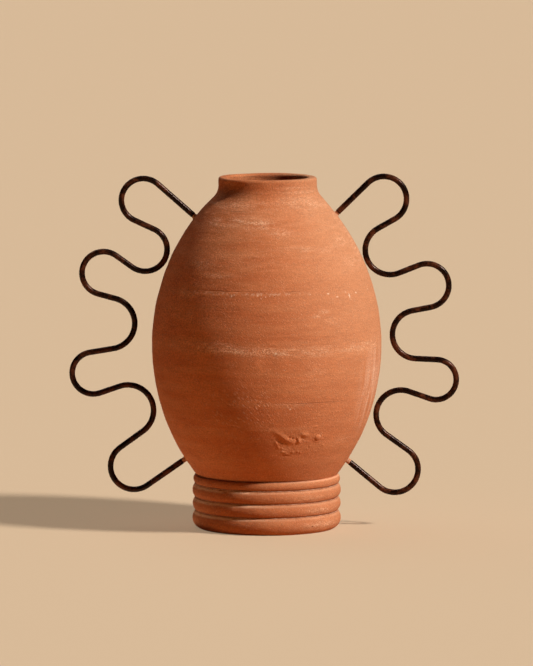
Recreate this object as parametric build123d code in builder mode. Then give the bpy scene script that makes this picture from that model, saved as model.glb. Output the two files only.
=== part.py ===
from build123d import *
import os
from math import asin, degrees, sqrt
from typing import NamedTuple

# A two-handled earthenware jar: an egg-shaped body thrown in two halves, a foot of rolled
# coils, a short neck and a wavy wire handle on each side. Lengths are in millimetres, Z is
# up, X runs from handle to handle, and the origin is on the table under the jar's axis.

# Body, whose outline from the side is one arc
belly_radius = 125.0
belly_height = 199.5
belly_arc = 231.5
body_wall = 9.0
floor_thickness = 12.0
floor_fillet = 12.0
body_seam_rise = 68.2

# Neck, from the level where its outside would run into the body
neck_radius = 53.5
neck_wall = 10.0
neck_height = 16.5
neck_skirt = 19.0
neck_fillet = 18.5
throat_fillet = 10.0
lip_round = 4.6

# Foot of pressed coils
bottom_coil_height = 18.7
coil_height = 14.1
top_coil_height = 9.6
coil_width = 22.0
coil_groove = 3.0
foot_ledge = 11.7
foot_edge_round = 6.5
top_coil_ledge = 11.0

# Slip that lutes the clay pieces, and how far it is squeezed out into the grooves
slip = 0.6
slip_squeeze = 0.8

# Handles and the clay sockets that they are bedded in
wire_diameter = 6.0
tang_diameter = 2.8
bedding = 0.3
bedding_under_tang = 0.5
socket_tip_step = 0.2
socket_flare = 1.6
upper_socket_length = 2.8
lower_socket_length = 4.2
clay_behind_socket = 3.5
drill_overrun = 2.0


class Bend(NamedTuple):
    """One bend of a handle's wire."""

    drop: float  # height below the bend before it, or below the upper socket
    edge: float  # from the wall to the wire's far side, or to its near side where it bends in
    radius: float  # of the wire's centre line


class Handle(NamedTuple):
    """One hand-bent handle, whose bends go out and in by turns."""

    name: str
    side: int  # 1 on the +X side of the jar, -1 on the -X side
    upper_drop: float  # of the upper socket below the neck's join
    lower_rise: float  # of the lower socket above the body's base
    bends: list


left = Handle(
    name="left",
    side=-1,
    upper_drop=8.2,
    lower_rise=25.9,
    bends=[
        Bend(drop=-18.0, edge=83.5, radius=24.0),
        Bend(drop=53.5, edge=2.0, radius=24.0),
        Bend(drop=26.0, edge=90.0, radius=23.5),
        Bend(drop=55.0, edge=16.5, radius=28.0),
        Bend(drop=54.5, edge=92.0, radius=23.0),
        Bend(drop=41.0, edge=5.0, radius=28.0),
        Bend(drop=61.5, edge=82.0, radius=25.5),
    ],
)
right = Handle(
    name="right",
    side=1,
    upper_drop=5.1,
    lower_rise=24.6,
    bends=[
        Bend(drop=-16.2, edge=79.5, radius=25.0),
        Bend(drop=55.5, edge=0.5, radius=27.0),
        Bend(drop=39.0, edge=84.0, radius=24.0),
        Bend(drop=53.5, edge=9.0, radius=26.5),
        Bend(drop=49.5, edge=87.5, radius=22.0),
        Bend(drop=38.5, edge=2.5, radius=27.0),
        Bend(drop=60.0, edge=79.0, radius=25.5),
    ],
)
handles = [left, right]

# Levels and radii that follow from the sizes above
arc_centre = belly_radius - belly_arc


def wall_radius(height, inset=0.0):
    """Radius of the body's wall at a height, a given depth inside its outer face."""
    return arc_centre + sqrt((belly_arc - inset) ** 2 - (height - belly_height) ** 2)


def level_of_radius(radius, inset=0.0):
    """Height above the belly where the wall has narrowed to a radius."""
    return belly_height + sqrt((belly_arc - inset) ** 2 - (radius - arc_centre) ** 2)


coil_spans = []
level = 0.0
for height in (bottom_coil_height, coil_height, coil_height):
    coil_spans.append((level, level + height))
    level += height + slip
base_level = level
floor_level = base_level + floor_thickness
base_radius = wall_radius(base_level)
foot_radius = base_radius + foot_ledge
foot_bore = foot_radius - coil_width
top_coil_radius = base_radius + top_coil_ledge
top_coil_level = base_level + top_coil_height

neck_root = level_of_radius(neck_radius)
rim_level = neck_root + neck_height
mouth_radius = neck_radius - neck_wall
throat_root = level_of_radius(mouth_radius, body_wall)
neck_seam = neck_root - neck_skirt
body_seam = belly_height + body_seam_rise

wire_radius = wire_diameter / 2
tang_radius = tang_diameter / 2
bore_radius = tang_radius + bedding
socket_tip_radius = wire_radius - socket_tip_step
socket_foot_radius = socket_tip_radius + socket_flare
socket_depth = body_wall - clay_behind_socket
seat_width = 4 * socket_foot_radius
tang_depth = socket_depth - bedding_under_tang


# Wire paths, drawn with X away from the jar's axis and Y up
class WireEnd(NamedTuple):
    """Where a wire meets the wall, and the way it runs from there."""

    foot: Vector
    run: Vector
    socket_length: float


def left_normal(direction):
    """Unit vector square to a direction, on its left."""
    return Vector(-direction.Y, direction.X).normalized()


def run_onto(point, centre, radius, turn):
    """Direction of the straight run from a point onto a bend, and where it touches."""
    way = centre - point
    run = way.rotate(Axis.Z, -turn * degrees(asin(radius / way.length))).normalized()
    return run, centre - left_normal(run) * (turn * radius)


def run_between(centre, radius, next_centre, next_radius, turn):
    """Ends of the straight run from one bend to the next, which turns the other way."""
    way = next_centre - centre
    run = way.rotate(Axis.Z, turn * degrees(asin((radius + next_radius) / way.length)))
    square = left_normal(run) * turn
    return centre - square * radius, next_centre + square * next_radius


def bend_centres(handle):
    """Centre of each bend, square to the wall by the bend's own distance from it."""
    centres = []
    height = neck_seam - handle.upper_drop
    for number, bend in enumerate(handle.bends):
        height -= bend.drop
        to_centre = bend.radius + wire_radius
        if number % 2 == 0:
            to_centre = -to_centre
        centres.append(Vector(wall_radius(height, -bend.edge - to_centre), height))
    return centres


def side_plane(handle):
    """Plane through the jar's axis that holds a handle, with X pointing away from the axis."""
    return Plane(origin=(0, 0, 0), x_dir=(handle.side, 0, 0), z_dir=(0, -handle.side, 0))


def wire_ends(handle):
    """The upper and the lower end of a handle's wire."""
    centres = bend_centres(handle)
    upper_level = neck_seam - handle.upper_drop
    lower_level = base_level + handle.lower_rise
    upper_foot = Vector(wall_radius(upper_level), upper_level)
    lower_foot = Vector(wall_radius(lower_level), lower_level)
    upper_run, _ = run_onto(upper_foot, centres[0], handle.bends[0].radius, -1)
    lower_run, _ = run_onto(lower_foot, centres[-1], handle.bends[-1].radius, 1)
    return (
        WireEnd(upper_foot, upper_run, upper_socket_length),
        WireEnd(lower_foot, lower_run, lower_socket_length),
    )


def end_plane(handle, end, along=0.0):
    """Plane square to a wire's end run, facing away from the wall."""
    plane = side_plane(handle)
    origin = plane.from_local_coords(end.foot + end.run * along)
    return Plane(origin=origin, x_dir=plane.z_dir, z_dir=plane.from_local_coords(end.run))


def section_plane(handle, end):
    """Plane through a wire's end run, with X along the run and Y square to it."""
    across = end_plane(handle, end)
    return Plane(origin=across.origin, x_dir=across.z_dir, z_dir=across.x_dir)


def wall_arc(inset, low, high):
    """Draw the wall's outline between two heights, a given depth inside its outer face."""
    radius = belly_arc - inset
    start = degrees(asin((low - belly_height) / radius))
    end = degrees(asin((high - belly_height) / radius))
    return CenterArc((arc_centre, belly_height), radius, start, end - start)


def save(piece, name):
    """Label a finished piece and write it to its own file."""
    piece.part.label = name
    export_step(piece.part, f"parts/{name}.step")


os.makedirs("parts", exist_ok=True)

# Round pieces are turned from a half section behind the axis, clear of the handles
half_section = Plane.YZ

# Foot coils, with flat lands top and bottom and bulging sides
for number, (low, high) in enumerate(coil_spans, start=1):
    low_inset = foot_edge_round if number == 1 else coil_groove
    middle = (low + high) / 2
    with BuildPart() as coil:
        with BuildSketch(half_section):
            with BuildLine():
                outside = ThreePointArc(
                    (foot_radius - low_inset, low),
                    (foot_radius, middle),
                    (foot_radius - coil_groove, high),
                )
                inside = ThreePointArc(
                    (foot_bore + low_inset, low),
                    (foot_bore, middle),
                    (foot_bore + coil_groove, high),
                )
                Line(outside @ 0, inside @ 0)
                Line(outside @ 1, inside @ 1)
            make_face()
        revolve(axis=Axis.Z)
    save(coil, f"foot_coil_{number}")

# Top coil, wrapped round the body's base and shaped to it
with BuildPart() as top_coil:
    with BuildSketch(half_section):
        with BuildLine():
            inside = wall_arc(-slip, base_level, top_coil_level)
            outside = ThreePointArc(
                (foot_radius - coil_groove, base_level),
                (top_coil_radius, (base_level + top_coil_level) / 2),
                inside @ 1,
            )
            Line(inside @ 0, outside @ 0)
        make_face()
    revolve(axis=Axis.Z)
save(top_coil, f"foot_coil_{len(coil_spans) + 1}")

# Slip between the foot's coils
slip_bore = foot_bore + coil_groove - slip_squeeze
slip_edge = foot_radius - coil_groove + slip_squeeze
for number, (_, coil_top) in enumerate(coil_spans[:-1], start=1):
    with BuildPart() as foot_slip:
        with BuildSketch(Plane.XY.offset(coil_top)):
            Circle(slip_edge)
            Circle(slip_bore, mode=Mode.SUBTRACT)
        extrude(amount=slip)
    save(foot_slip, f"foot_slip_{number}")

# Slip under the body and up between its wall and the top coil
with BuildPart() as seat_slip:
    with BuildSketch(half_section):
        with BuildLine():
            wall_side = wall_arc(0, base_level, top_coil_level)
            coil_side = wall_arc(-slip, base_level, top_coil_level)
            Line(wall_side @ 1, coil_side @ 1)
            Polyline(
                coil_side @ 0,
                (slip_edge, base_level),
                (slip_edge, base_level - slip),
                (slip_bore, base_level - slip),
                (slip_bore, base_level),
                wall_side @ 0,
            )
        make_face()
    revolve(axis=Axis.Z)
save(seat_slip, "foot_seat_slip")

# Lower half of the body, with its floor and the blind holes for the handles' lower ends
with BuildPart() as lower_body:
    with BuildSketch(half_section):
        with BuildLine():
            outer = wall_arc(0, base_level, body_seam - slip / 2)
            inner = wall_arc(body_wall, floor_level, body_seam - slip / 2)
            Line(outer @ 1, inner @ 1)
            Polyline(outer @ 0, (0, base_level), (0, floor_level), inner @ 0)
        make_face()
    revolve(axis=Axis.Z)
    floor_edge = lower_body.edges().filter_by(GeomType.CIRCLE).group_by(Axis.Z)[1]
    fillet(floor_edge, radius=floor_fillet)
    with Locations(*[end_plane(handle, wire_ends(handle)[1], drill_overrun) for handle in handles]):
        Hole(radius=bore_radius, depth=drill_overrun + socket_depth)
save(lower_body, "lower_body")

# Upper half of the body, with the blind holes for the handles' upper ends
with BuildPart() as upper_body:
    with BuildSketch(half_section):
        with BuildLine():
            outer = wall_arc(0, body_seam + slip / 2, neck_seam - slip / 2)
            inner = wall_arc(body_wall, body_seam + slip / 2, neck_seam - slip / 2)
            Line(outer @ 0, inner @ 0)
            Line(outer @ 1, inner @ 1)
        make_face()
    revolve(axis=Axis.Z)
    with Locations(*[end_plane(handle, wire_ends(handle)[0], drill_overrun) for handle in handles]):
        Hole(radius=bore_radius, depth=drill_overrun + socket_depth)
save(upper_body, "upper_body")

# Slip in the joins of the body
for name, seam in (("body_seam_slip", body_seam), ("neck_seam_slip", neck_seam)):
    with BuildPart() as seam_slip:
        with BuildSketch(half_section):
            with BuildLine():
                outer = wall_arc(0, seam - slip / 2, seam + slip / 2)
                inner = wall_arc(body_wall, seam - slip / 2, seam + slip / 2)
                Line(outer @ 0, inner @ 0)
                Line(outer @ 1, inner @ 1)
            make_face()
        revolve(axis=Axis.Z)
    save(seam_slip, name)

# Neck, a collar that sweeps up from the shoulder to a rounded lip
with BuildPart() as neck:
    with BuildSketch(half_section) as collar:
        with BuildLine():
            outer = wall_arc(0, neck_seam + slip / 2, neck_root)
            inner = wall_arc(body_wall, neck_seam + slip / 2, throat_root)
            Line(outer @ 0, inner @ 0)
            Polyline(outer @ 1, (neck_radius, rim_level), (mouth_radius, rim_level), inner @ 1)
        make_face()
        bottom_to_top = collar.vertices().group_by(Axis.Y)
        fillet(bottom_to_top[-1], radius=lip_round)
        fillet(collar.vertices().sort_by_distance((neck_radius, neck_root))[0], radius=neck_fillet)
        fillet(collar.vertices().sort_by_distance((mouth_radius, throat_root))[0], radius=throat_fillet)
    revolve(axis=Axis.Z)
save(neck, "neck")

# Solid shape of the body
with BuildPart() as body_form:
    with BuildSketch(half_section):
        with BuildLine():
            outer = wall_arc(0, base_level, neck_root)
            Polyline(outer @ 0, (0, base_level), (0, neck_root), outer @ 1)
        make_face()
    revolve(axis=Axis.Z)

for handle in handles:
    ends = wire_ends(handle)
    for place, end in zip(("upper", "lower"), ends):
        axis = Axis(section_plane(handle, end).origin, section_plane(handle, end).x_dir)

        # Patch of the body round the socket, which the socket's foot is cut to
        with BuildPart() as seat:
            with BuildSketch(end_plane(handle, end, -body_wall)):
                Rectangle(seat_width, seat_width)
            extrude(amount=2 * body_wall)
            add(body_form.part, mode=Mode.INTERSECT)

        # Clay socket, a short boss that flares where it is luted to the wall
        with BuildPart() as socket:
            with BuildSketch(section_plane(handle, end)):
                with BuildLine():
                    flare = CenterArc((socket_flare, socket_foot_radius), socket_flare, 180, 90)
                    Polyline(
                        flare @ 1,
                        (end.socket_length, socket_tip_radius),
                        (end.socket_length, bore_radius),
                        (-socket_depth, bore_radius),
                        (-socket_depth, socket_foot_radius),
                        flare @ 0,
                    )
                make_face()
            revolve(axis=axis)
            add(seat.part, mode=Mode.SUBTRACT)
        save(socket, f"{place}_{handle.name}_socket")

        # Filler round the tang, from the socket's tip to the bottom of its hole
        with BuildPart() as filler:
            with BuildSketch(section_plane(handle, end)):
                with BuildLine():
                    Polyline(
                        (-socket_depth, 0),
                        (-socket_depth, bore_radius),
                        (end.socket_length, bore_radius),
                        (end.socket_length, tang_radius),
                        (-tang_depth, tang_radius),
                        (-tang_depth, 0),
                        close=True,
                    )
                make_face()
            revolve(axis=axis)
        save(filler, f"{place}_{handle.name}_bedding")

    # Handle, one wire with a thin tang at each end
    centres = bend_centres(handle)
    starts = [end.foot + end.run * end.socket_length for end in ends]
    with BuildPart() as wire:
        with BuildLine(side_plane(handle)) as path:
            _, touch = run_onto(ends[0].foot, centres[0], handle.bends[0].radius, -1)
            Line(tuple(starts[0]), tuple(touch))
            for number, bend in enumerate(handle.bends):
                turn = -1 if number % 2 == 0 else 1
                centre = centres[number]
                if number + 1 < len(centres):
                    leave, next_touch = run_between(
                        centre, bend.radius, centres[number + 1], handle.bends[number + 1].radius, turn
                    )
                else:
                    _, leave = run_onto(ends[1].foot, centre, bend.radius, -turn)
                    next_touch = starts[1]
                crest = centre - left_normal(leave - touch) * (turn * bend.radius)
                ThreePointArc(tuple(touch), tuple(crest), tuple(leave))
                Line(tuple(leave), tuple(next_touch))
                touch = next_touch
        with BuildSketch(end_plane(handle, ends[0], ends[0].socket_length)):
            Circle(wire_radius)
        sweep(path=path.line)
        for end in ends:
            with BuildSketch(end_plane(handle, end, -tang_depth)):
                Circle(tang_radius)
            extrude(amount=tang_depth + end.socket_length)
    save(wire, f"{handle.name}_handle")
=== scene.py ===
from math import asin, atan2, ceil, cos, degrees, exp, hypot, radians, sin, sqrt, tau
from typing import NamedTuple

import bmesh
import bpy
from mathutils import Matrix, Vector, noise


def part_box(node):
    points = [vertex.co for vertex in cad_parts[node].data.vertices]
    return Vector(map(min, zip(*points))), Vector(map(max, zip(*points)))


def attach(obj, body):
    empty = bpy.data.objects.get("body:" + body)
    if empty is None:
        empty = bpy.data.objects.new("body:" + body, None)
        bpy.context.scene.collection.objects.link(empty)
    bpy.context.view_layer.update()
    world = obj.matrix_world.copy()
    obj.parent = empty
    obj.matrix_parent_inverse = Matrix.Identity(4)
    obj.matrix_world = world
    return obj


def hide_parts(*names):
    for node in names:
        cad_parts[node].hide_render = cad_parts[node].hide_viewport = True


# An earthenware jar on a coiled foot, with a wavy wire handle on each side. Z is up and X runs
# from handle to handle. Lengths are in metres, apart from those of marks, which say mm.
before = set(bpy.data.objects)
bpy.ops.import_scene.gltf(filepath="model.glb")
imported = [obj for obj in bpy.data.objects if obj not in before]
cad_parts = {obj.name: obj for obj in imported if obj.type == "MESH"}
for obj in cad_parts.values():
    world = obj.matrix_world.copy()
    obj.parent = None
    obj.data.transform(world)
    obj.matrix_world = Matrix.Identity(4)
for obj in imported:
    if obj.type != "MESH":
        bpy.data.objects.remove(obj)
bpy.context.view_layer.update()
mm = 0.001


def bottom_of(node):
    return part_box(node)[0].z


def top_of(node):
    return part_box(node)[1].z


def span_of(node):
    return bottom_of(node), top_of(node)


def radius_of(node):
    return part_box(node)[1].y


# Body, whose outline from the side is one arc
belly_radius = radius_of("lower_body")
belly_height = 199.5 * mm
belly_arc = 231.5 * mm
body_wall = 9 * mm
floor_thickness = 12 * mm
floor_fillet = 12 * mm
arc_centre = belly_radius - belly_arc
base_level = bottom_of("lower_body")
body_seam = bottom_of("upper_body")
neck_seam = bottom_of("neck")
slip = body_seam - top_of("lower_body")

# Neck
rim_level = top_of("neck")
neck_radius = 53.5 * mm
neck_wall = 10 * mm
neck_fillet = 18.5 * mm
throat_fillet = 10 * mm
throat_hollow = 0.7 * mm
lip_round = 2.5 * mm
neck_lean = 1.0 * mm
mouth_radius = neck_radius - neck_wall

# Foot
coil_names = ["foot_coil_1", "foot_coil_2", "foot_coil_3"]
top_coil_name = "foot_coil_4"
foot_radius = radius_of("foot_coil_1")
coil_width = 22 * mm
coil_groove = 3 * mm
foot_edge_round = 6.5 * mm
slip_squeeze = 1.4 * mm
foot_bore = foot_radius - coil_width

# Handles, whose rod is thickened by scale and wax, and their sockets
rod_radius = 3 * mm
wax_coat = 0.25 * mm
wire_radius = rod_radius + wax_coat
tang_radius = 1.4 * mm
tang_depth = 5 * mm
socket_tip_radius = 2.8 * mm
socket_flare = 1.6 * mm
socket_root = 4 * mm
socket_root_spread = 1 * mm
socket_sunk = 0.2 * mm
socket_tip_round = 0.6 * mm
upper_socket_length = 2.8 * mm
lower_socket_length = 4.2 * mm


class Spot(NamedTuple):
    """An oval mark on the wall, which fades towards its edge."""

    bearing: float  # degrees to the right of the front
    height: float  # mm above the floor
    spread: float  # half width, in degrees
    rise: float  # half height, in mm
    strength: float


class Belt(NamedTuple):
    """A mark that runs all round the wall and fades above and below."""

    height: float  # mm above the floor
    width: float  # half width, in mm
    strength: float


# Lime that bloomed on the wall as it dried
lime = [
    Spot(38, 374.5, 34, 2.4, 0.8),
    Spot(44, 369.5, 38, 2.6, 0.9),
    Spot(40, 364, 40, 3, 0.7),
    Spot(48, 356, 40, 7, 0.5),
    Spot(-43, 356, 18, 5, 0.6),
    Spot(-45, 339, 14, 7, 0.7),
    Spot(-21, 341, 20, 8, 0.9),
    Spot(-4, 338, 14, 8, 0.9),
    Spot(10, 329, 15, 8, 0.8),
    Spot(59, 318, 18, 10, 0.7),
    Spot(80, 316, 18, 48, 0.8),
    Spot(20, 312, 24, 5, 0.6),
    Spot(43, 310, 16, 6, 0.5),
    Spot(-44, 294, 18, 9, 0.7),
    Spot(60, 294, 20, 16, 0.5),
    Spot(-30, 285, 18, 5, 0.6),
    Spot(-47, 263, 12, 9, 0.7),
    Spot(31, 246.5, 5, 4, 0.9),
    Spot(26, 242, 4, 3, 0.8),
    Spot(36, 236, 8, 7, 0.4),
    Spot(-43, 243, 4, 8, 0.4),
    Spot(-31, 210, 18, 9, 1.0),
    Spot(-20, 207, 14, 9, 0.6),
    Spot(-11, 205, 18, 9, 0.85),
    Spot(4, 203.5, 14, 8, 0.75),
    Spot(24, 204, 22, 8, 0.9),
    Spot(54, 205, 24, 8, 1.0),
    Spot(-28, 188, 6, 10, 0.4),
    Spot(25, 184, 10, 18, 0.3),
    Spot(14, 147, 16, 6, 0.6),
    Spot(20, 107, 7, 6, 0.35),
    Spot(12, 96, 10, 6, 0.5),
    Spot(53, 104, 18, 6, 0.5),
    Spot(36, 39, 36, 6, 0.5),
    Spot(52, 25, 32, 7, 0.8),
    Spot(50, 9, 36, 8, 1.0),
]
# Painted highlight along the jar's right edge, broken up into pale streaks
painted_edge_highlight = Spot(71, 158, 21, 70, 1.0)
# Fainter belts of lime that run all round
lime_belts = [
    Belt(357, 6, 0.5),
    Belt(338, 9, 0.3),
    Belt(300, 7, 0.2),
    Belt(207, 6, 0.3),
    Belt(122, 5, 0.2),
]
# Pale chips knocked out of the wall, most of them near the join
chips = [
    Spot(49.7, 261.2, 0.6, 4.4, 1.0),
    Spot(35.0, 264.8, 1.2, 1.2, 0.8),
    Spot(40.7, 261.2, 1.1, 1.3, 0.8),
    Spot(47.4, 265.6, 0.5, 1.3, 0.6),
    Spot(56.0, 263.4, 0.8, 1.2, 0.8),
    Spot(-17.4, 265.2, 0.6, 1.4, 0.7),
    Spot(-19.0, 263.4, 0.6, 1.6, 0.7),
    Spot(-4.9, 265.0, 0.6, 1.7, 0.6),
    Spot(-2.8, 266.0, 0.5, 1.4, 0.5),
    Spot(4.4, 203.6, 0.6, 1.8, 0.7),
    Spot(12.4, 142.6, 0.6, 1.4, 0.6),
    Spot(32.2, 110.8, 0.8, 1.7, 0.4),
]
# Pits where grit fell out, and two fine scratches, dented in the relief and darkened with painted shade
pits = [
    Spot(-2.4, 335.2, 0.6, 1.0, 0.9),
    Spot(4.0, 264.0, 0.5, 0.9, 0.7),
    Spot(37.8, 8.4, 1.0, 1.2, 1.0),
    Spot(-26, 350.4, 18, 0.7, 0.4),
    Spot(22, 148.4, 38, 0.9, 0.35),
]
# Painted shade on the neck's left side, under the lip
painted_neck_shade = Spot(-48, 368, 42, 14, 0.5)
# Patch where grit was dragged slantwise over the wet wall
drag = Spot(-15, 141, 29, 44, 1.0)

# Fineness of the meshes, how near two points are one, and the angle of a sharp edge
segments_round = 360
sectors_round = 24
wall_step = 1.7 * mm
inner_step = 4.2 * mm
fine_step = 1.1 * mm
bore_step = 1.5 * fine_step
floor_step = 6 * mm
land_step = 4 * mm
join_step = 3 * mm
bead_step = 0.3 * mm
scar_cuts = 3
socket_segments = 48
socket_step = 0.4 * mm
socket_side_step = 0.7 * mm
socket_end_step = 1 * mm
wire_sides = 24
wire_step = 2.5 * mm
same_point = 0.01 * mm
sharp_edge = radians(50)


def wall_radius(height, inset=0.0):
    """Radius of the body's wall at a height, a given depth inside its outer face."""
    return arc_centre + sqrt((belly_arc - inset) ** 2 - (height - belly_height) ** 2)


class Outline:
    """Half section of a round piece, drawn from point to point and then turned on an upright axis."""

    def __init__(self, radius, height):
        self.mesh = bmesh.new()
        self.pen = self.mesh.verts.new((radius, 0, height))

    def line(self, radius, height, step=1.0):
        """A straight stretch to a point, in steps of about a given length."""
        way = Vector((radius, 0, height)) - self.pen.co
        count = max(1, round(way.length / step))
        for _ in range(count):
            drawn = bmesh.ops.extrude_vert_indiv(self.mesh, verts=[self.pen])
            self.pen = drawn["verts"][0]
            self.pen.co += way / count

    def arc(self, radius, height, through, step):
        """A round stretch through one point to another, in steps of about a given length."""
        start = Vector((self.pen.co.x, self.pen.co.z))
        end = Vector((radius, height))
        centre = circle_centre(start, Vector(through), end)
        turn = (start - centre).angle_signed(Vector(through) - centre)
        turn += (Vector(through) - centre).angle_signed(end - centre)
        count = max(2, ceil(abs(turn) * (start - centre).length / step))
        swept = bmesh.ops.spin(
            self.mesh,
            geom=[self.pen],
            cent=(centre.x, 0, centre.y),
            axis=(0, 1, 0),
            angle=turn,
            steps=count,
        )
        self.pen = next(item for item in swept["geom_last"] if isinstance(item, bmesh.types.BMVert))

    def turned(self, segments=segments_round, sectors=sectors_round):
        """The finished round piece, turned as one sector and copies of it."""
        axis = {"cent": (0, 0, 0), "axis": (0, 0, 1)}
        section = self.mesh.verts[:] + self.mesh.edges[:]
        bmesh.ops.spin(self.mesh, geom=section, angle=tau / sectors, steps=segments // sectors, **axis)
        sector = self.mesh.verts[:] + self.mesh.edges[:] + self.mesh.faces[:]
        rest = tau - tau / sectors
        bmesh.ops.spin(self.mesh, geom=sector, angle=rest, steps=sectors - 1, use_duplicate=True, **axis)
        bmesh.ops.remove_doubles(self.mesh, verts=self.mesh.verts[:], dist=same_point)
        bmesh.ops.recalc_face_normals(self.mesh, faces=self.mesh.faces[:])
        return self.mesh


def circle_centre(a, b, c):
    """Centre of the circle through three points of a section."""
    ab = b - a
    ac = c - a
    cross = 2 * (ab.x * ac.y - ab.y * ac.x)
    along_ab = ab.length_squared
    along_ac = ac.length_squared
    offset = Vector((ac.y * along_ab - ab.y * along_ac, ab.x * along_ac - ac.x * along_ab))
    return a + offset / cross


def wall_stretch(outline, high, inset, step):
    """A stretch of the body's wall, from the outline's last point to a height."""
    low = outline.pen.co.z
    middle = (low + high) / 2
    outline.arc(wall_radius(high, inset), high, (wall_radius(middle, inset), middle), step)


def press(mesh, depth_at, *joins):
    """Push each point of a piece inwards by the depth for its place, leaving its flat joins flat."""
    mesh.normal_update()
    joined = {point for point in mesh.verts if lies_at(point, joins)}
    flat = {face for face in mesh.faces if joined.issuperset(face.verts)}
    moves = []
    for point in mesh.verts:
        normal = sum((face.normal for face in point.link_faces if face not in flat), Vector())
        move = normal.normalized() * depth_at(point.co)
        if point in joined:
            move.z = 0.0
        moves.append(move)
    for point, move in zip(mesh.verts, moves):
        point.co -= move


def lies_at(point, heights):
    """Whether a point lies at one of some heights."""
    return any(abs(point.co.z - height) < same_point for height in heights)


def bump_at(distance, width):
    """A rounded bump, 1 in its middle and fading over a width."""
    return exp(-((distance / width) ** 2))


def bearing_of(point):
    """Bearing of a point from the jar's front, in degrees to the right."""
    return degrees(atan2(point.x, -point.y))


def outward(point):
    """Level direction from the jar's axis to a point."""
    return Vector((point.x, point.y, 0)).normalized()


def round_noise(point, lumps, shift=(0, 0, 0)):
    """Noise that runs round the jar, with about so many lumps to a radian."""
    return noise.noise(outward(point) * lumps + Vector(shift))


# Depths of the traces of hand work
ring_depth = 0.28 * mm
fine_ring_depth = 0.12 * mm
lump_depth = 0.28 * mm
grain_depth = 0.05 * mm
belly_clearance = 0.6 * mm
seam_depth = 0.25 * mm
seam_width = 1.0 * mm
seam_wander = 0.5 * mm
seam_wear_bearing = -28.0
seam_wear_spread = 25.0
coil_sway = 0.4 * mm
coil_dents = 0.2 * mm
coil_grain = 0.07 * mm
bead_reach = 1 * mm
slip_wear = 0.08 * mm
wire_wear = 0.04 * mm
bend_marks = 0.12 * mm
hammer_marks = 0.08 * mm
socket_dents = 0.3 * mm
socket_grain = 0.15 * mm


def finger_rings(point):
    """Depth of the rings that the potter's fingers left, which run round the jar."""
    wide = round_noise(point, 1.2, (0, 0, point.z * 55))
    fine = round_noise(point, 2.2, (3, 7, point.z * 190))
    return ring_depth * wide + fine_ring_depth * fine


def clay_lumps(point):
    """Depth of the slow unevenness and the coarse grain of hand-worked clay."""
    return lump_depth * noise.noise(point * 16) + grain_depth * noise.noise(point * 310)


def uneven_wall(point):
    """Depth of all the unevenness of the wall, none of it proud of the belly's front and back."""
    room = belly_radius - abs(point.y)
    return finger_rings(point) + clay_lumps(point) + max(0.0, belly_clearance - room)


def seam_groove(point, seam):
    """Depth of the worn groove over a join in the wall."""
    height = seam + seam_wander * round_noise(point, 3)
    worn = 0.6 + 0.8 * round_noise(point, 7, (5, 1, 2))
    rubbed = 0.08 + 0.92 * bump_at(bearing_of(point) - seam_wear_bearing, seam_wear_spread)
    return seam_depth * max(0.0, worn) * rubbed * bump_at(point.z - height, seam_width)


class Dab(NamedTuple):
    """A small dent in the wall, or a raised crumb where its depth is below zero."""

    bearing: float  # degrees to the right of the front
    height: float  # mm above the floor
    width: float  # half width, in mm
    rise: float  # half height, in mm
    turn: float  # degrees anticlockwise
    depth: float  # mm


# Scar low on the jar's front, where the wet clay was knocked
scar = [
    Dab(5.7, 115.7, 4.0, 2.6, -30, -0.5),
    Dab(8.6, 112.6, 4.5, 2.6, -40, -0.8),
    Dab(11.3, 108.9, 4.5, 2.4, -38, -0.9),
    Dab(14.6, 105.8, 4.5, 2.8, -15, -0.7),
    Dab(6.9, 108.0, 4.5, 2.6, -50, 0.9),
    Dab(9.8, 104.3, 4.2, 2.0, -30, 0.8),
    Dab(17.1, 99.9, 3.0, 3.0, 0, -0.3),
    Dab(13.1, 110.6, 1.1, 1.1, 0, 1.1),
    Dab(15.1, 109.5, 1.1, 1.1, 0, 1.1),
    Dab(17.3, 108.4, 1.1, 1.3, 0, 1.1),
    Dab(19.0, 106.6, 2.0, 3.0, 8, -1.8),
    Dab(21.9, 113.4, 4.4, 2.6, -8, -1.6),
    Dab(21.3, 109.0, 1.7, 1.0, -20, 0.9),
    Dab(22.7, 105.8, 2.6, 1.6, 0, -0.35),
    Dab(5.4, 105.2, 1.2, 1.8, 30, -0.5),
    Dab(7.0, 99.9, 1.0, 2.0, 30, -0.6),
    Dab(9.3, 98.3, 1.2, 1.4, 30, -0.5),
    Dab(10.2, 94.2, 1.6, 1.1, 0, -0.6),
    Dab(12.2, 92.0, 2.4, 1.0, -10, -0.5),
    Dab(16.2, 93.6, 1.2, 1.4, -20, -0.7),
    Dab(19.5, 93.9, 1.0, 1.5, 0, -0.6),
    Dab(21.3, 93.0, 1.1, 1.5, 0, -0.6),
    Dab(12.1, 89.4, 3.0, 1.2, 0, 0.6),
    Dab(27.0, 99.8, 1.3, 1.3, 0, -0.5),
    Dab(32.0, 93.2, 2.0, 1.1, 0, -0.4),
    Dab(36.0, 100.0, 1.3, 1.2, 0, -0.5),
    Dab(28.3, 121.5, 2.2, 1.2, 10, -0.4),
]
blister_bearing = 30.8
blister_height = 109.2 * mm
blister_radius = 3.3 * mm
blister_rise = 1.5 * mm
blister_rim_radius = 5.3 * mm
blister_rim_width = 0.9 * mm
blister_rim_rise = 0.3 * mm
scar_bearing = 17.0
scar_height = 104.5 * mm
scar_width = 38 * mm
scar_rise = 22 * mm


def offset_from(point, bearing, height):
    """How far along and up the wall a point lies from a place on it."""
    along = radians(bearing_of(point) - bearing) * hypot(point.x, point.y)
    tilt = (height - belly_height) / belly_arc
    return Vector((along, (point.z - height) / sqrt(1 - tilt * tilt)))


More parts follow.
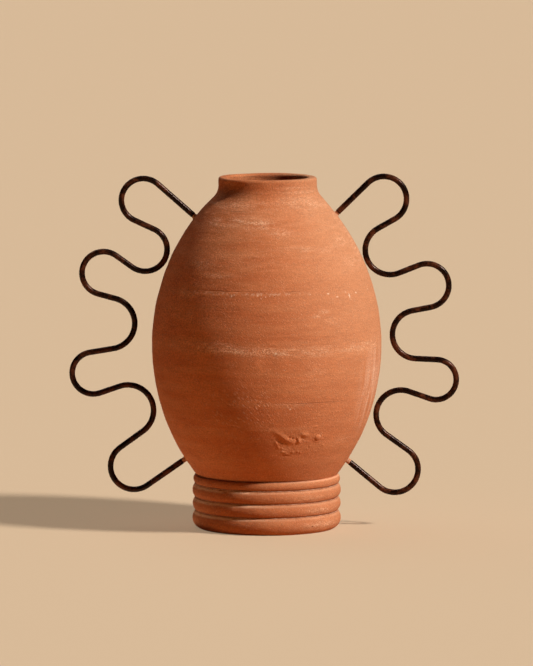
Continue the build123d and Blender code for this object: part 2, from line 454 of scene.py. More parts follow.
def scar_depth(point):
    """Depth of the scar and its blister at a point of the wall."""
    depth = 0.0
    for dab in scar:
        offset = offset_from(point, dab.bearing, dab.height * mm) / mm
        offset.rotate(Matrix.Rotation(radians(-dab.turn), 2))
        depth += dab.depth * mm * exp(-((offset.x / dab.width) ** 2) - (offset.y / dab.rise) ** 2)
    distance = offset_from(point, blister_bearing, blister_height).length
    depth -= blister_rise * exp(-((distance / blister_radius) ** 4))
    depth -= blister_rim_rise * bump_at(distance - blister_rim_radius, blister_rim_width)
    return depth


def near_scar(point):
    """Whether a point of the outer wall is close to the scar."""
    if hypot(point.x, point.y) < wall_radius(point.z) - body_wall / 2:
        return False
    offset = offset_from(point, scar_bearing, scar_height)
    return abs(offset.x) < scar_width and abs(offset.y) < scar_rise


def make_piece(name, mesh, finish, slot, *nodes):
    """Turn a finished shape into a piece of the jar that stands for its solids."""
    data = bpy.data.meshes.new(name)
    mesh.to_mesh(data)
    mesh.free()
    data.shade_smooth()
    data.set_sharp_from_angle(angle=sharp_edge)
    data.materials.append(finish)
    piece = bpy.data.objects.new(name, data)
    bpy.context.scene.collection.objects.link(piece)
    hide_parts(*nodes)
    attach(piece, "root")


def lower_body():
    """Lower half of the body, with its floor."""
    floor_level = base_level + floor_thickness
    top = top_of("lower_body")
    fillet_height = floor_level + floor_fillet
    fillet_radius = wall_radius(fillet_height, body_wall + floor_fillet)
    fillet_centre = Vector((fillet_radius, fillet_height))
    towards_wall = (fillet_centre - Vector((arc_centre, belly_height))).normalized()
    meeting = fillet_centre + towards_wall * floor_fillet
    halfway = fillet_centre + (towards_wall + Vector((0, -1))).normalized() * floor_fillet
    outline = Outline(0, base_level)
    outline.line(wall_radius(base_level), base_level, floor_step)
    wall_stretch(outline, top, 0, wall_step)
    outline.line(wall_radius(top, body_wall), top, join_step)
    wall_stretch(outline, meeting.y, body_wall, inner_step)
    outline.arc(fillet_radius, floor_level, halfway, inner_step)
    outline.line(0, floor_level, floor_step)
    body = outline.turned()
    patch = [edge for edge in body.edges if all(near_scar(point.co) for point in edge.verts)]
    bmesh.ops.subdivide_edges(body, edges=patch, cuts=scar_cuts, use_grid_fill=True)

    def depth(point):
        worn = uneven_wall(point) + seam_groove(point, body_seam)
        return worn + (scar_depth(point) if near_scar(point) else 0.0)

    press(body, depth, top, base_level)
    return body


def upper_body():
    """Upper half of the body, up to the neck's join."""
    low, high = span_of("upper_body")
    outline = Outline(wall_radius(low), low)
    wall_stretch(outline, high, 0, wall_step)
    outline.line(wall_radius(high, body_wall), high, join_step)
    wall_stretch(outline, low, body_wall, inner_step)
    outline.line(wall_radius(low), low, join_step)
    body = outline.turned()

    def depth(point):
        joins = seam_groove(point, body_seam) + seam_groove(point, neck_seam)
        return uneven_wall(point) + joins

    press(body, depth, low, high)
    return body


def rounding(wall_arc, radius, fillet):
    """Where a rounding leaves the body's arc and where it meets an upright wall."""
    centre_radius = radius + fillet
    rise = sqrt((wall_arc + fillet) ** 2 - (centre_radius - arc_centre) ** 2)
    centre = Vector((centre_radius, belly_height + rise))
    inward = (Vector((arc_centre, belly_height)) - centre).normalized()
    middle = (inward + Vector((-1, 0))).normalized()
    return centre + inward * fillet, centre + middle * fillet, Vector((radius, centre.y))


def neck():
    """Neck, a collar that sweeps up from the shoulder to a rounded lip."""
    low = bottom_of("neck")
    leave, bend, rise = rounding(belly_arc, neck_radius, neck_fillet)
    inner_leave, inner_bend, inner_rise = rounding(belly_arc - body_wall, mouth_radius, throat_fillet)
    diagonal = lip_round * sqrt(0.5)
    lip_level = rim_level - lip_round
    outer_lip = neck_radius - lip_round
    inner_lip = mouth_radius + lip_round
    outline = Outline(wall_radius(low), low)
    wall_stretch(outline, leave.y, 0, fine_step)
    outline.arc(rise.x, rise.y, bend, fine_step)
    outline.line(neck_radius, lip_level, fine_step)
    outline.arc(outer_lip, rim_level, (outer_lip + diagonal, lip_level + diagonal), fine_step)
    outline.line(inner_lip, rim_level, fine_step)
    outline.arc(mouth_radius, lip_level, (inner_lip - diagonal, lip_level + diagonal), fine_step)
    hollow_level = (lip_level + inner_rise.y) / 2
    outline.arc(mouth_radius, inner_rise.y, (mouth_radius + throat_hollow, hollow_level), fine_step)
    outline.arc(inner_leave.x, inner_leave.y, inner_bend, fine_step)
    wall_stretch(outline, low, body_wall, fine_step)
    outline.line(wall_radius(low), low, join_step)
    collar = outline.turned()

    def depth(point):
        return uneven_wall(point) + seam_groove(point, neck_seam)

    press(collar, depth, low)
    for point in collar.verts:
        share = min(1.0, (point.co.z - low) / (leave.y - low))
        point.co.x += neck_lean * share
    return collar


def coil_wander(point, number):
    """Depth of the unevenness of a coil that was rolled and pressed down by hand."""
    sway = round_noise(point, 2.2, (number, 0, 0))
    dents = round_noise(point, 6, (0, number, 0))
    return coil_sway * sway + coil_dents * dents + coil_grain * noise.noise(point * 260)


def foot_coil(name, number):
    """One coil of the foot, with flat lands top and bottom and bulging sides."""
    low, high = span_of(name)
    low_inset = foot_edge_round if number == 0 else coil_groove
    middle = (low + high) / 2
    outline = Outline(foot_radius - low_inset, low)
    outline.arc(foot_radius - coil_groove, high, (foot_radius, middle), fine_step)
    outline.line(foot_bore + coil_groove, high, land_step)
    outline.arc(foot_bore + low_inset, low, (foot_bore, middle), bore_step)
    outline.line(foot_radius - low_inset, low, land_step)
    coil = outline.turned()
    press(coil, lambda point: coil_wander(point, number), low, high)
    return coil


def top_coil():
    """Coil that is wrapped round the body's base and shaped to it."""
    low, high = span_of(top_coil_name)
    middle = (low + high) / 2
    outline = Outline(wall_radius(low, -slip), low)
    outline.line(foot_radius - coil_groove, low, join_step)
    outline.arc(wall_radius(high, -slip), high, (radius_of(top_coil_name), middle), fine_step)
    wall_stretch(outline, low, -slip, fine_step)
    coil = outline.turned()
    press(coil, lambda point: coil_wander(point, len(coil_names)), low)
    return coil


def slip_bead(name):
    """Thin layer of slip between two coils, with an edge that was squeezed out unevenly."""
    low, high = span_of(name)
    inner = foot_bore + coil_groove
    outer = radius_of(name)
    outline = Outline(inner, low)
    outline.line(outer, low, land_step)
    outline.arc(outer, high, (outer + (high - low) / 2, (low + high) / 2), bead_step)
    outline.line(inner, high, land_step)
    outline.line(inner, low, bead_reach)
    bead = outline.turned()
    shift = (0, 0, low * 300)
    for point in bead.verts:
        if hypot(point.co.x, point.co.y) > outer - bead_reach:
            uneven = 0.35 * round_noise(point.co, 9, shift) + 0.15 * round_noise(point.co, 40, shift)
            point.co -= outward(point.co) * slip_squeeze * (0.5 + uneven)
    return bead


def seam_slip(name):
    """Slip in a join of the body's wall, worn back a little below the wall."""
    low, high = span_of(name)
    outline = Outline(wall_radius(low), low)
    outline.line(wall_radius(high), high)
    outline.line(wall_radius(high, body_wall), high, join_step)
    outline.line(wall_radius(low, body_wall), low)
    outline.line(wall_radius(low), low, join_step)
    ring = outline.turned()

    def depth(point):
        groove = seam_groove(point, body_seam) + seam_groove(point, neck_seam)
        return uneven_wall(point) + groove + slip_wear

    press(ring, depth, low, high)
    return ring


class Bend(NamedTuple):
    """One bend of a handle's wire."""

    drop: float  # height below the bend before it, or below the upper socket
    edge: float  # from the wall to the wire's far side, or to its near side where it bends in
    radius: float  # of the wire's centre line


class Handle(NamedTuple):
    """One hand-bent handle, whose bends go out and in by turns."""

    name: str
    side: int  # 1 on the +X side of the jar, -1 on the -X side
    upper_drop: float  # of the upper socket below the neck's join
    lower_rise: float  # of the lower socket above the body's base
    bends: list


left = Handle(
    name="left",
    side=-1,
    upper_drop=8.2 * mm,
    lower_rise=25.9 * mm,
    bends=[
        Bend(drop=-18.0 * mm, edge=83.5 * mm, radius=23.75 * mm),
        Bend(drop=53.5 * mm, edge=2.0 * mm, radius=24.0 * mm),
        Bend(drop=26.0 * mm, edge=90.0 * mm, radius=23.5 * mm),
        Bend(drop=55.0 * mm, edge=16.5 * mm, radius=28.0 * mm),
        Bend(drop=54.5 * mm, edge=92.0 * mm, radius=23.0 * mm),
        Bend(drop=41.0 * mm, edge=5.0 * mm, radius=28.0 * mm),
        Bend(drop=61.5 * mm, edge=82.0 * mm, radius=25.5 * mm),
    ],
)
right = Handle(
    name="right",
    side=1,
    upper_drop=5.1 * mm,
    lower_rise=24.6 * mm,
    bends=[
        Bend(drop=-16.2 * mm, edge=79.5 * mm, radius=24.75 * mm),
        Bend(drop=55.5 * mm, edge=0.5 * mm, radius=27.0 * mm),
        Bend(drop=39.0 * mm, edge=84.0 * mm, radius=24.0 * mm),
        Bend(drop=53.5 * mm, edge=9.0 * mm, radius=26.5 * mm),
        Bend(drop=49.5 * mm, edge=87.5 * mm, radius=22.0 * mm),
        Bend(drop=38.5 * mm, edge=2.5 * mm, radius=27.0 * mm),
        Bend(drop=60.0 * mm, edge=79.0 * mm, radius=25.5 * mm),
    ],
)


def square_to(direction):
    """Unit vector square to a direction of the handle's plane, on its left."""
    return Vector((-direction.y, direction.x)).normalized()


def turned_by(direction, angle):
    return Matrix.Rotation(angle, 2) @ direction


class WireEnd(NamedTuple):
    """Where a wire meets the wall, and the way it runs from there."""

    foot: Vector
    run: Vector
    socket_length: float


def bend_centres(handle):
    """Centre of each bend, as the distance from the jar's axis and the height."""
    centres = []
    height = neck_seam - slip / 2 - handle.upper_drop
    for number, bend in enumerate(handle.bends):
        height -= bend.drop
        to_centre = bend.radius + wire_radius
        if number % 2 == 0:
            to_centre = -to_centre
        centres.append(Vector((wall_radius(height, -bend.edge - to_centre), height)))
    return centres


def run_onto(point, centre, radius, turn):
    """Direction of the straight run from a point onto a bend, and where it touches."""
    way = centre - point
    run = turned_by(way, -turn * asin(radius / way.length)).normalized()
    return run, centre - square_to(run) * turn * radius


def run_between(centre, radius, next_centre, next_radius, turn):
    """Ends of the straight run from one bend to the next, which turns the other way."""
    way = next_centre - centre
    run = turned_by(way, turn * asin((radius + next_radius) / way.length))
    square = square_to(run) * turn
    return centre - square * radius, next_centre + square * next_radius


def wire_ends(handle):
    """The upper and the lower end of a handle's wire."""
    centres = bend_centres(handle)
    upper_level = neck_seam - slip / 2 - handle.upper_drop
    lower_level = base_level + handle.lower_rise
    upper_foot = Vector((wall_radius(upper_level), upper_level))
    lower_foot = Vector((wall_radius(lower_level), lower_level))
    upper_run, _ = run_onto(upper_foot, centres[0], handle.bends[0].radius, -1)
    lower_run, _ = run_onto(lower_foot, centres[-1], handle.bends[-1].radius, 1)
    return (
        WireEnd(upper_foot, upper_run, upper_socket_length),
        WireEnd(lower_foot, lower_run, lower_socket_length),
    )


def in_space(point):
    """A point of the handle's plane, on the +X side."""
    return Vector((point.x, 0, point.y))


def placed_along(foot, run):
    """Matrix that sets a piece's own Z along a run from a foot."""
    turn = in_space(run).to_track_quat("Z", "Y").to_matrix().to_4x4()
    return Matrix.Translation(in_space(foot)) @ turn


class Rod:
    """A round wire, drawn out straight and bent round pegs."""

    def __init__(self, start, run):
        self.mesh = bmesh.new()
        made = bmesh.ops.create_circle(
            self.mesh,
            cap_ends=True,
            segments=wire_sides,
            radius=wire_radius,
            matrix=placed_along(start, run),
        )
        self.take_end(made["verts"] + self.mesh.edges[:])
        self.at = start

    def take_end(self, drawn):
        """Keep the ring that was drawn last."""
        self.ring = [item for item in drawn if isinstance(item, bmesh.types.BMVert)]
        corners = set(self.ring)
        edges = [item for item in drawn if isinstance(item, bmesh.types.BMEdge)]
        self.edges = [edge for edge in edges if set(edge.verts) <= corners]

    def straight_to(self, point):
        way = in_space(point - self.at)
        count = max(1, round(way.length / wire_step))
        for _ in range(count):
            drawn = bmesh.ops.extrude_edge_only(self.mesh, edges=self.edges)
            self.take_end(drawn["geom"])
            bmesh.ops.translate(self.mesh, vec=way / count, verts=self.ring)
        self.at = point

    def bend_to(self, point, centre, turn):
        start_arm = self.at - centre
        end_arm = point - centre
        angle = start_arm.angle_signed(end_arm)
        if angle * turn > 0:
            angle -= turn * tau
        count = ceil(abs(angle) * start_arm.length / wire_step)
        drawn = bmesh.ops.spin(
            self.mesh,
            geom=self.ring + self.edges,
            cent=in_space(centre),
            axis=(0, 1, 0),
            angle=angle,
            steps=count,
        )
        self.take_end(drawn["geom_last"])
        self.at = point


def handle_wire(handle):
    """One handle, a wire with a thin tang at each end."""
    ends = wire_ends(handle)
    centres = bend_centres(handle)
    starts = [end.foot + end.run * end.socket_length for end in ends]
    rod = Rod(starts[0], ends[0].run)
    _, touch = run_onto(ends[0].foot, centres[0], handle.bends[0].radius, -1)
    rod.straight_to(touch)
    for number, bend in enumerate(handle.bends):
        turn = -1 if number % 2 == 0 else 1
        if number + 1 < len(centres):
            following = handle.bends[number + 1].radius
            leave, next_touch = run_between(
                centres[number], bend.radius, centres[number + 1], following, turn
            )
        else:
            _, leave = run_onto(ends[1].foot, centres[number], bend.radius, -turn)
            next_touch = starts[1]
        rod.bend_to(leave, centres[number], turn)
        rod.straight_to(next_touch)
    wire = rod.mesh
    bmesh.ops.contextual_create(wire, geom=rod.edges)
    wire.normal_update()
    bmesh.ops.recalc_face_normals(wire, faces=wire.faces[:])
    press(wire, wire_marks)
    caps = [face for face in wire.faces if len(face.verts) == wire_sides]
    bmesh.ops.inset_individual(wire, faces=caps, thickness=wire_radius - tang_radius)
    for cap in caps:
        into_wall = cap.normal * (tang_depth + (upper_socket_length + lower_socket_length) / 2)
        drawn = bmesh.ops.extrude_discrete_faces(wire, faces=[cap])
        bmesh.ops.translate(wire, vec=into_wall, verts=drawn["faces"][0].verts)
    return wire


def wire_marks(point):
    """Depth of the marks that bending and hammering left on a wire."""
    bent = bend_marks * max(0.0, noise.noise(point * 40))
    hammered = hammer_marks * max(0.0, noise.noise(point * 190))
    return wire_wear + bent + hammered


def socket_lumps(point):
    """Depth of the dents and the grain of a socket that was pinched into shape."""
    return socket_dents * noise.noise(point * 420) + socket_grain * noise.noise(point * 1100)


def socket_boss(end):
    """Clay socket, a short boss that flares where it is luted to the wall."""
    flare_radius = socket_tip_radius + socket_flare
    flare_bend = (socket_tip_radius + socket_flare * 0.3, socket_flare * 0.3)
    rounded_radius = socket_tip_radius - socket_tip_round * 0.4
    outline = Outline(0, -socket_root)
    outline.line(flare_radius + socket_root_spread, -socket_root, socket_end_step)
    outline.line(flare_radius, -socket_sunk, socket_side_step)
    outline.arc(socket_tip_radius, socket_flare, flare_bend, socket_step)
    outline.line(socket_tip_radius, end.socket_length - socket_tip_round, socket_step)
    outline.line(rounded_radius, end.socket_length, socket_step)
    outline.line(0, end.socket_length, socket_end_step)
    boss = outline.turned(socket_segments)
    bmesh.ops.transform(boss, matrix=placed_along(end.foot, end.run), verts=boss.verts[:])
    press(boss, socket_lumps)
    return boss


def on_side(handle, mesh):
    """Set a piece drawn on the +X side on its handle's own side."""
    if handle.side < 0:
        bmesh.ops.scale(mesh, vec=(-1, 1, 1), verts=mesh.verts[:])
        bmesh.ops.reverse_faces(mesh, faces=mesh.faces[:])
    return mesh


class Value:
    """One output of a finish's nodes. Arithmetic on it adds Math nodes."""

    def __init__(self, finish, socket):
        self.finish = finish
        self.socket = socket

    def maths(self, operation, *others):
        numbers = dict(enumerate((self, *others)))
        return self.finish.add("ShaderNodeMath", {"operation": operation}, numbers)

    def __add__(self, other):
        return self.maths("ADD", other)

    def __sub__(self, other):
        return self.maths("SUBTRACT", other)

    def __mul__(self, other):
        return self.maths("MULTIPLY", other)

    def __truediv__(self, other):
        return self.maths("DIVIDE", other)

    def __pow__(self, other):
        return self.maths("POWER", other)

    def __rsub__(self, other):
        return self.finish.add("ShaderNodeMath", {"operation": "SUBTRACT"}, {0: other, 1: self})

    __radd__ = __add__
    __rmul__ = __mul__

    def between(self, low, high):
        """0 up to a low value, 1 from a high one, and a smooth rise between them."""
        spread = {"From Min": low, "From Max": high, "Value": self}
        return self.finish.add("ShaderNodeMapRange", {"interpolation_type": "SMOOTHSTEP"}, spread)

    def band(self, middle, width):
        """1 at a middle value, fading to 0 over a width on both sides."""
        return ((self - middle) / width * ((middle - self) / width)).maths("EXPONENT")


class Finish:
    """A procedural finish, whose nodes are added one call at a time."""

    def __init__(self, name):
        self.material = bpy.data.materials.new(name)
        self.material.use_nodes = True
        self.nodes = self.material.node_tree.nodes
        self.links = self.material.node_tree.links
        self.shader = self.nodes["Principled BSDF"]

    def add(self, kind, settings=None, inputs=None, output=0):
        """A node of a kind, with its settings and then its sockets' values or links."""
        node = self.nodes.new(kind)
        for name, value in (settings or {}).items():
            setattr(node, name, value)
        for name, value in (inputs or {}).items():
            self.feed(node.inputs[name], value)
        return Value(self, node.outputs[output])

    def feed(self, socket, value):
        if isinstance(value, Value):
            self.links.new(value.socket, socket)
        else:
            socket.default_value = value

    def set(self, **inputs):
        """Values or links of the shader's own sockets."""
        for name, value in inputs.items():
            self.feed(self.shader.inputs[name.replace("_", " ")], value)

    def place(self):
        return self.add("ShaderNodeTexCoord", output="Object")

    def parts(self, vector):
        return [self.add("ShaderNodeSeparateXYZ", inputs={0: vector}, output=axis) for axis in "XYZ"]

    def vector(self, x, y, z):
        return self.add("ShaderNodeCombineXYZ", inputs={0: x, 1: y, 2: z})

    def noise(self, vector, scale, detail=2.0, roughness=0.5):
        settings = {"Vector": vector, "Scale": scale, "Detail": detail, "Roughness": roughness}
        return self.add("ShaderNodeTexNoise", inputs=settings)

    def cells(self, vector, scale, output):
        return self.add("ShaderNodeTexVoronoi", inputs={"Vector": vector, "Scale": scale}, output=output)

    def blend(self, factor, colour, other):
        """One colour that gives way to another."""
        sockets = {0: factor, 6: paint(colour), 7: paint(other)}
        return self.add("ShaderNodeMix", {"data_type": "RGBA"}, sockets, output=2)

    def shade(self, colour, brightness):
        """A colour made darker or brighter."""
        return self.add("ShaderNodeVectorMath", {"operation": "SCALE"}, {0: colour, "Scale": brightness})

    def specks(self, vector, scale, size, rarity):
        """Round specks in some cells of a pattern: 1 in a speck and 0 round it."""
        distance = self.cells(vector, scale, "Distance")
        chance = self.parts(self.cells(vector, scale, "Color"))[0]
        return (1 - distance.between(size * 0.6, size)) * chance.maths("GREATER_THAN", rarity)

    def spot(self, wall, mark):
        """A mark's strength in its middle, fading to 0 at its edge, on the unrolled wall."""
        middle = (mark.bearing, mark.height * mm, 0)
        offset = self.add("ShaderNodeVectorMath", {"operation": "SUBTRACT"}, {0: wall, 1: middle})
        shares = {0: offset, 1: (mark.spread, mark.rise * mm, 1)}
        reached = self.add("ShaderNodeVectorMath", {"operation": "DIVIDE"}, shares)
        distance = self.add("ShaderNodeVectorMath", {"operation": "LENGTH"}, {0: reached}, "Value")
        return distance.between(1.0, 0.0) * mark.strength

    def bump(self, height, distance):
        sockets = {"Height": height, "Distance": distance, "Strength": 1.0}
        self.set(Normal=self.add("ShaderNodeBump", inputs=sockets))


def paint(colour):
    """A colour as a node's socket takes it."""
    return colour if isinstance(colour, Value) else (*colour, 1.0)


# Colours of the clay, of what lies on it, and of the light and shade painted on it
deep_clay = (0.495, 0.130, 0.039)
bright_clay = (0.565, 0.160, 0.051)
streaked_clay = (0.615, 0.215, 0.080)
# Paler colour painted where the light falls on the jar's right side
painted_lit_clay = (0.575, 0.235, 0.104)
# Colour of the painted highlight along the right edge
edge_highlight_clay = (0.74, 0.40, 0.25)
lime_colour = (0.86, 0.43, 0.23)
grit_colour = (0.86, 0.52, 0.33)
chip_colour = (0.88, 0.58, 0.38)
# Colour of the painted shade in pits, scratches, the crack and the foot's grooves
painted_shade_colour = (0.10, 0.03, 0.015)

# About the length of the wall to a degree, and the height of the clay's fine relief
wall_per_degree = 2.1 * mm
relief_height = 0.52 * mm


class JarClay(Finish):
    """The jar's fired clay, with the places on its wall and the grains that its marks share."""

    def __init__(self, name):
        super().__init__(name)
        self.at = self.place()
        self.x, self.y, self.z = self.parts(self.at)
        reach = (self.x * self.x + self.y * self.y) ** 0.5
        self.side = self.x / reach  # from -1 at the jar's left to 1 at its right
        self.back = self.y / reach  # from -1 at its front to 1 at its back
        self.bearing = self.x.maths("ARCTAN2", 0 - self.y) * degrees(1)
        self.wall = self.vector(self.bearing, self.z, 0.0)
        self.streak = self.noise(self.round_the_jar(1.8, 120.0), 1.0, detail=4.0, roughness=0.6)
        self.hairline = self.noise(self.round_the_jar(9.0, 380.0), 1.0, detail=3.0, roughness=0.6)
        self.sand = self.noise(self.at, 600.0, detail=3.0, roughness=0.7)
        self.dust = self.noise(self.drawn_out(4.5), 60.0, detail=7.0, roughness=0.68)
        stipple = self.noise(self.drawn_out(1.4), 480.0, detail=3.0, roughness=0.7)
        self.stipple = stipple.between(0.42, 0.60)
        self.crumbs = self.specks(self.slanted(210.0, 420.0), 1.0, size=0.38, rarity=0.55)
        self.drag = self.spot(self.wall, drag)
        # Grit dragged over the wall: crumbs in the relief, whose pale colour is partly a painted
        # highlight
        self.dragged = self.drag * self.specks(self.slanted(130.0, 330.0), 1.0, size=0.42, rarity=0.5)
        self.worn_seam = self.side.between(-0.85, -0.65) * self.side.between(0.55, 0.15)
        self.collar = self.z.between(345 * mm, 362 * mm)

    def round_the_jar(self, around, along):
        """Places that change at one rate round the jar and at another up it."""
        return self.vector(self.side * around, self.back * around, self.z * along)

    def drawn_out(self, rate):
        """Places that change faster up the jar, so that marks come out long and level."""
        return self.vector(self.x, self.y, self.z * rate)

    def slanted(self, along, across):
        """Places on the unrolled wall that change at different rates along a slant and across it."""
        arc = self.bearing * wall_per_degree
        return self.vector((arc - self.z) * along, (arc + self.z) * across, 0.0)

    def ragged_wall(self):
        """Places on the unrolled wall, shaken so that marks come out with ragged edges."""
        bearing = self.bearing + (self.sand - 0.5) * 2.4
        return self.vector(bearing, self.z + (self.hairline - 0.5) * 3 * mm, 0.0)

    def marks(self, spots, wall):
        return sum(self.spot(wall, mark) for mark in spots)


def clay_colour_with_painted_light(clay):
    """Colour of the bare clay, mottled and streaked, with painted light: a paler lit side towards the
    right and a painted highlight along the right edge.
    """
    mottle = clay.noise(clay.at, 22.0, detail=4.0, roughness=0.55)
    colour = clay.blend(mottle.between(0.3, 0.7), deep_clay, bright_clay)
    colour = clay.blend(clay.streak.between(0.35, 0.75) * 0.6, colour, streaked_clay)
    # Painted light: the lit right side is paler, most at middle heights
    painted_lit_side = clay.side.between(-0.15, 1.0) * (0.4 + 0.45 * clay.z.between(100 * mm, 260 * mm))
    colour = clay.blend(painted_lit_side, colour, painted_lit_clay)
    strokes = clay.noise(clay.round_the_jar(24.0, 16.0), 1.0, detail=4.0, roughness=0.62)
    # Painted highlight along the right edge, broken up into streaks
    rubbed = clay.spot(clay.wall, painted_edge_highlight) * strokes.between(0.36, 0.66)
    rubbed = rubbed * (0.55 + 0.9 * clay.streak) * (0.6 + 0.7 * clay.stipple)
    return clay.blend(rubbed, colour, edge_highlight_clay)


def lime_bloom(clay):
    """Cover of the lime on the wall, in stippled spots and belts."""
    belts = sum(clay.z.band(belt.height * mm, belt.width * mm) * belt.strength for belt in lime_belts)
    cover = clay.marks(lime, clay.wall) + belts * clay.streak.between(0.35, 0.6)
    return cover * clay.dust.between(0.32, 0.64) * (0.2 + clay.stipple)


def settled_dust(clay):
    """Cover of the dust that settled on the coils of the foot."""
    tops = sum(clay.z.band(top_of(name) - 1.4 * mm, 1.4 * mm) for name in coil_names)
    settled = tops * (0.4 + 1.6 * clay.side.between(0.2, -0.8)) * clay.dust.between(0.25, 0.55)
    shelf = clay.z.band(top_of(top_coil_name) - 0.8 * mm, 0.9 * mm)
    return settled + shelf * clay.side.between(-0.1, 0.5) * 0.7


def grain_tone(clay):
    """Brightness of the sandy grain, lower on the foot and darker where shade is painted on the neck's
    left side.
    """
    coarse = clay.side.between(-0.25, -0.8) * 0.5 + clay.collar * 0.4
    coarse = coarse + clay.side.between(0.0, -0.6) * clay.z.band(240 * mm, 70 * mm) * 0.9
    grain = 0.84 + (0.70 + coarse) * (clay.sand - 0.5) + 0.32 * clay.hairline
    foot = clay.z.between(top_of(top_coil_name) + 1 * mm, top_of(top_coil_name) - 3 * mm)
    # The neck's spot darkens the clay as painted shade
    return grain * (1 - 0.1 * foot - clay.spot(clay.wall, painted_neck_shade))


def pale_grit(clay, bloom, settled):
    """Cover of the pale grit in the lime and the dust, on the wall and along the worn join, with the
    dragged grit painted pale partly as a highlight on its crumbs.
    """
    flecks = clay.specks(clay.at, 210.0, size=0.22, rarity=0.60)
    flecks = flecks * (bloom + clay.z.band(body_seam - 3 * mm, 4 * mm))
    specks = clay.specks(clay.at, 560.0, size=0.27, rarity=0.76)
    chipped = clay.noise(clay.at, 320.0, detail=3.0, roughness=0.6).between(0.50, 0.60)
    seam_line = clay.z.band(body_seam - 1.9 * mm, 1.5 * mm) * clay.worn_seam * chipped
    # The dragged grit's pale colour is partly a painted highlight on raised crumbs
    grit = flecks * 0.5 + specks * 0.3 + clay.crumbs * 0.09 + clay.dragged * 0.36 + seam_line * 0.38
    return grit + settled * clay.side.between(0.0, -0.7) * 0.4


def painted_foot_shade(clay):
    """Painted shade in the grooves between the coils and in the crevice over the top one, whose shade
    fades out towards the right.
    """
    grooves = sum(clay.z.band(top_of(name) + 0.6 * mm, 0.9 * mm) for name in coil_names)
    crevice = clay.z.band(top_of(top_coil_name) + 0.3 * mm, 1.2 * mm)
    return (grooves + crevice * clay.side.between(0.9, 0.1)) * 0.8


def seam_crack_and_shade(clay):
    """Broken hairline crack along the worn part of the body's join, dented in the relief and darkened
    with painted shade.
    """
    broken = clay.noise(clay.round_the_jar(5.0, 0.0), 1.0, detail=3.0).between(0.4, 0.6)
    return clay.z.band(body_seam + 0.5 * mm, 0.6 * mm) * broken * clay.worn_seam


def fine_relief(clay, bloom):
    """Height of the sand, the finger strokes, the lime and the dragged grit."""
    drags = clay.noise(clay.slanted(90.0, 420.0), 1.0, detail=3.0, roughness=0.6)
    strokes = clay.noise(clay.slanted(260.0, 640.0), 1.0, detail=2.0, roughness=0.6)
    relief = clay.sand * 0.65 + strokes * 0.5 + clay.hairline * 0.35
    relief = relief + clay.dust * 0.5 + clay.streak * 0.6 + bloom * 0.5
    relief = relief + clay.crumbs * 0.26 + drags * clay.drag * 1.6 + clay.dragged * 0.8
    return relief * (1 + 0.45 * clay.collar)


def terracotta():
    """Fired red earthenware, with lime, dust, pale grit, chips, pits and a worn join, and with painted
    light and shade: a paler lit side, a highlight on the right edge and shade in the hollows and on the
    neck.
    """
    clay = JarClay("terracotta")
    bloom = lime_bloom(clay)
    settled = settled_dust(clay)
    holes_and_shade = clay.marks(pits, clay.wall) + clay.specks(clay.at, 75.0, size=0.04, rarity=0.85) * 0.8
    crack = seam_crack_and_shade(clay)
    colour = clay.blend((bloom + settled) * 0.85, clay_colour_with_painted_light(clay), lime_colour)
    colour = clay.shade(colour, grain_tone(clay))
    colour = clay.blend(pale_grit(clay, bloom, settled), colour, grit_colour)
    colour = clay.blend(clay.marks(chips, clay.ragged_wall()) * 1.3, colour, chip_colour)
    # Painted shade in the pits, along the crack and in the foot's grooves and crevice
    colour = clay.blend(holes_and_shade + crack * 0.2 + painted_foot_shade(clay), colour, painted_shade_colour)
    clay.set(Base_Color=colour, Roughness=0.88, Specular_IOR_Level=0.25)
    clay.bump(fine_relief(clay, bloom) - holes_and_shade - crack * 0.8, relief_height)
    return clay.material


def pale_slip():
    """Slip squeezed out of the joins, paler and dustier than the clay."""
    bare_slip = (0.44, 0.16, 0.070)
    dusty_slip = (0.66, 0.36, 0.22)
    clay = Finish("slip")
    dust = clay.noise(clay.place(), 260.0, detail=5.0, roughness=0.65)
    colour = clay.blend(dust.between(0.35, 0.65), bare_slip, dusty_slip)
    clay.set(Base_Color=colour, Roughness=0.92, Specular_IOR_Level=0.2)
    clay.bump(dust, 0.3 * mm)
    return clay.material


def filler():
    """Clay-coloured filler that beds the wires in their sockets."""
    dark_paste = (0.30, 0.10, 0.05)
    pale_paste = (0.45, 0.19, 0.10)
    paste = Finish("bedding")
    grain = paste.noise(paste.place(), 500.0, detail=4.0, roughness=0.6)
    paste.set(Base_Color=paste.blend(grain, dark_paste, pale_paste), Roughness=0.9)
    return paste.material


def patina():
    """Dark waxed patina on the wires, with coppery red showing through in blotches."""
    black_wax = (0.006, 0.0016, 0.0008)
    coppery_red = (0.105, 0.028, 0.011)
    wire = Finish("wire")
    place = wire.place()
    blotch = wire.noise(place, 70.0, detail=5.0, roughness=0.6)
    fine = wire.noise(place, 380.0, detail=4.0, roughness=0.6)
    warm = (blotch * 0.75 + fine * 0.25).between(0.45, 0.64)
    wire.set(Base_Color=wire.blend(warm, black_wax, coppery_red), Roughness=0.2 + 0.12 * fine)
    wire.set(Specular_IOR_Level=0.17, Specular_Tint=(1.0, 0.62, 0.48, 1.0))
    wire.bump(fine, 0.06 * mm)
    return wire.material


def pale_floor():
    """Plain pale floor with a soft shadow, which throws a warm, lower light back at the jar."""
    warm_bounce = (0.57, 0.28, 0.11)
    pale_board = (0.446, 0.310, 0.192)
    no_light = (0.0, 0.0, 0.0)
    shadow_lift = (0.266, 0.190, 0.122)
    floor = Finish("floor")
    rays = ("Camera", "Glossy", "Transmission")
    seen = sum(floor.add("ShaderNodeLightPath", output=f"Is {ray} Ray") for ray in rays)
    colour = floor.blend(seen, warm_bounce, pale_board)
    floor.set(Base_Color=colour, Roughness=0.8, Specular_IOR_Level=0.1)
    floor.set(Emission_Color=floor.blend(seen, no_light, shadow_lift), Emission_Strength=1.0)
    return floor.material


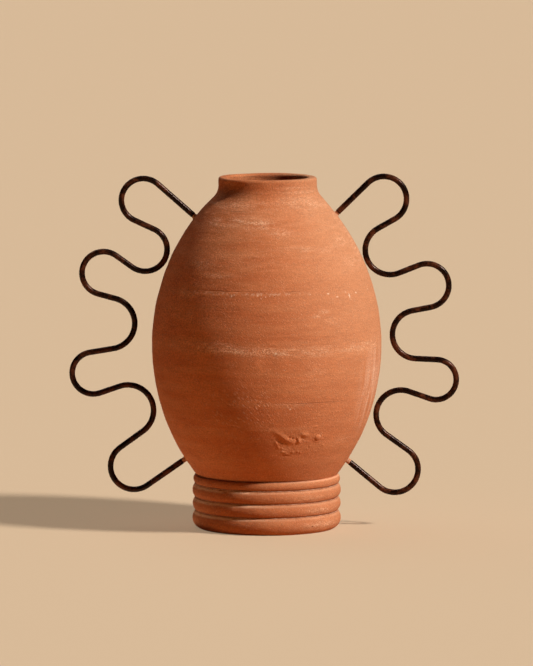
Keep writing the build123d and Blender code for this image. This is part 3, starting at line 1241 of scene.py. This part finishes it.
# Pieces of the jar
clay = terracotta()
joint_slip = pale_slip()
bedding = filler()
metal = patina()
shapes = {"lower_body": lower_body(), "upper_body": upper_body(), "neck": neck()}
for number, name in enumerate(coil_names):
    shapes[name] = foot_coil(name, number)
shapes[top_coil_name] = top_coil()
for name, shape in shapes.items():
    make_piece(f"{name}_skin", shape, clay, "terracotta", name)
for name in ("foot_slip_1", "foot_slip_2"):
    make_piece(f"{name}_bead", slip_bead(name), joint_slip, "slip", name)
for name in ("body_seam_slip", "neck_seam_slip"):
    make_piece(f"{name}_ring", seam_slip(name), clay, "slip", name)
for handle in (left, right):
    wire = on_side(handle, handle_wire(handle))
    make_piece(f"{handle.name}_wire", wire, metal, "wire", f"{handle.name}_handle")
    for place, end in zip(("upper", "lower"), wire_ends(handle)):
        name = f"{place}_{handle.name}_socket"
        boss = on_side(handle, socket_boss(end))
        make_piece(f"{name}_boss", boss, joint_slip, "terracotta", name)

# Inner pieces that keep their solids
inner_finishes = {"foot_seat_slip": joint_slip}
for side in ("left", "right"):
    for place in ("upper", "lower"):
        inner_finishes[f"{place}_{side}_bedding"] = bedding
for node, finish in inner_finishes.items():
    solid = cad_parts[node]
    solid.data.materials.clear()
    solid.data.materials.append(finish)

# Floor, light and camera
floor_reach = 30.0
ground = bmesh.new()
bmesh.ops.create_grid(ground, x_segments=1, y_segments=1, size=floor_reach)
floor_data = bpy.data.meshes.new("floor")
ground.to_mesh(floor_data)
ground.free()
floor_data.materials.append(pale_floor())
floor = bpy.data.objects.new("floor", floor_data)
bpy.context.scene.collection.objects.link(floor)


def sun(name, bearing, elevation, strength, softness, colour):
    """Soft parallel light from a bearing to the right of the front and a height above the floor."""
    lamp = bpy.data.lights.new(name, "SUN")
    lamp.energy = strength
    lamp.angle = radians(softness)
    lamp.color = colour
    source = bpy.data.objects.new(name, lamp)
    bearing = radians(bearing)
    elevation = radians(elevation)
    towards = Vector((sin(bearing) * cos(elevation), -cos(bearing) * cos(elevation), sin(elevation)))
    source.rotation_euler = towards.to_track_quat("Z", "Y").to_euler()
    bpy.context.scene.collection.objects.link(source)


def glow(name, place, width, power, colour):
    """Light that a lit patch of the floor throws up at the jar."""
    lamp = bpy.data.lights.new(name, "AREA")
    lamp.size = width
    lamp.energy = power
    lamp.color = colour
    source = bpy.data.objects.new(name, lamp)
    source.location = place
    source.rotation_euler = (radians(180), 0, 0)
    source.visible_camera = False
    bpy.context.scene.collection.objects.link(source)


sun("key_light", bearing=63, elevation=40, strength=4.2, softness=8, colour=(0.97, 1.0, 1.02))
sun("back_light", bearing=-150, elevation=60, strength=0.45, softness=60, colour=(0.95, 1.0, 1.05))
glow("floor_glow", place=(-0.22, 0.07, 0.003), width=0.28, power=0.15, colour=(1.0, 0.75, 0.5))
room = bpy.data.worlds.new("room")
room.use_nodes = True
background = room.node_tree.nodes["Background"]
background.inputs["Color"].default_value = (1.0, 0.55, 0.30, 1.0)
background.inputs["Strength"].default_value = 0.015
bpy.context.scene.world = room

camera_data = bpy.data.cameras.new("camera")
camera_data.lens = 324.2
camera_data.sensor_width = 36
camera_data.clip_end = 100
camera = bpy.data.objects.new("camera", camera_data)
camera.location = (-0.2 * mm, -6.5, 0.9066)
camera.rotation_euler = (radians(83.905), 0, 0)
bpy.context.scene.collection.objects.link(camera)
bpy.context.scene.camera = camera
bpy.context.scene.view_settings.view_transform = "Standard"
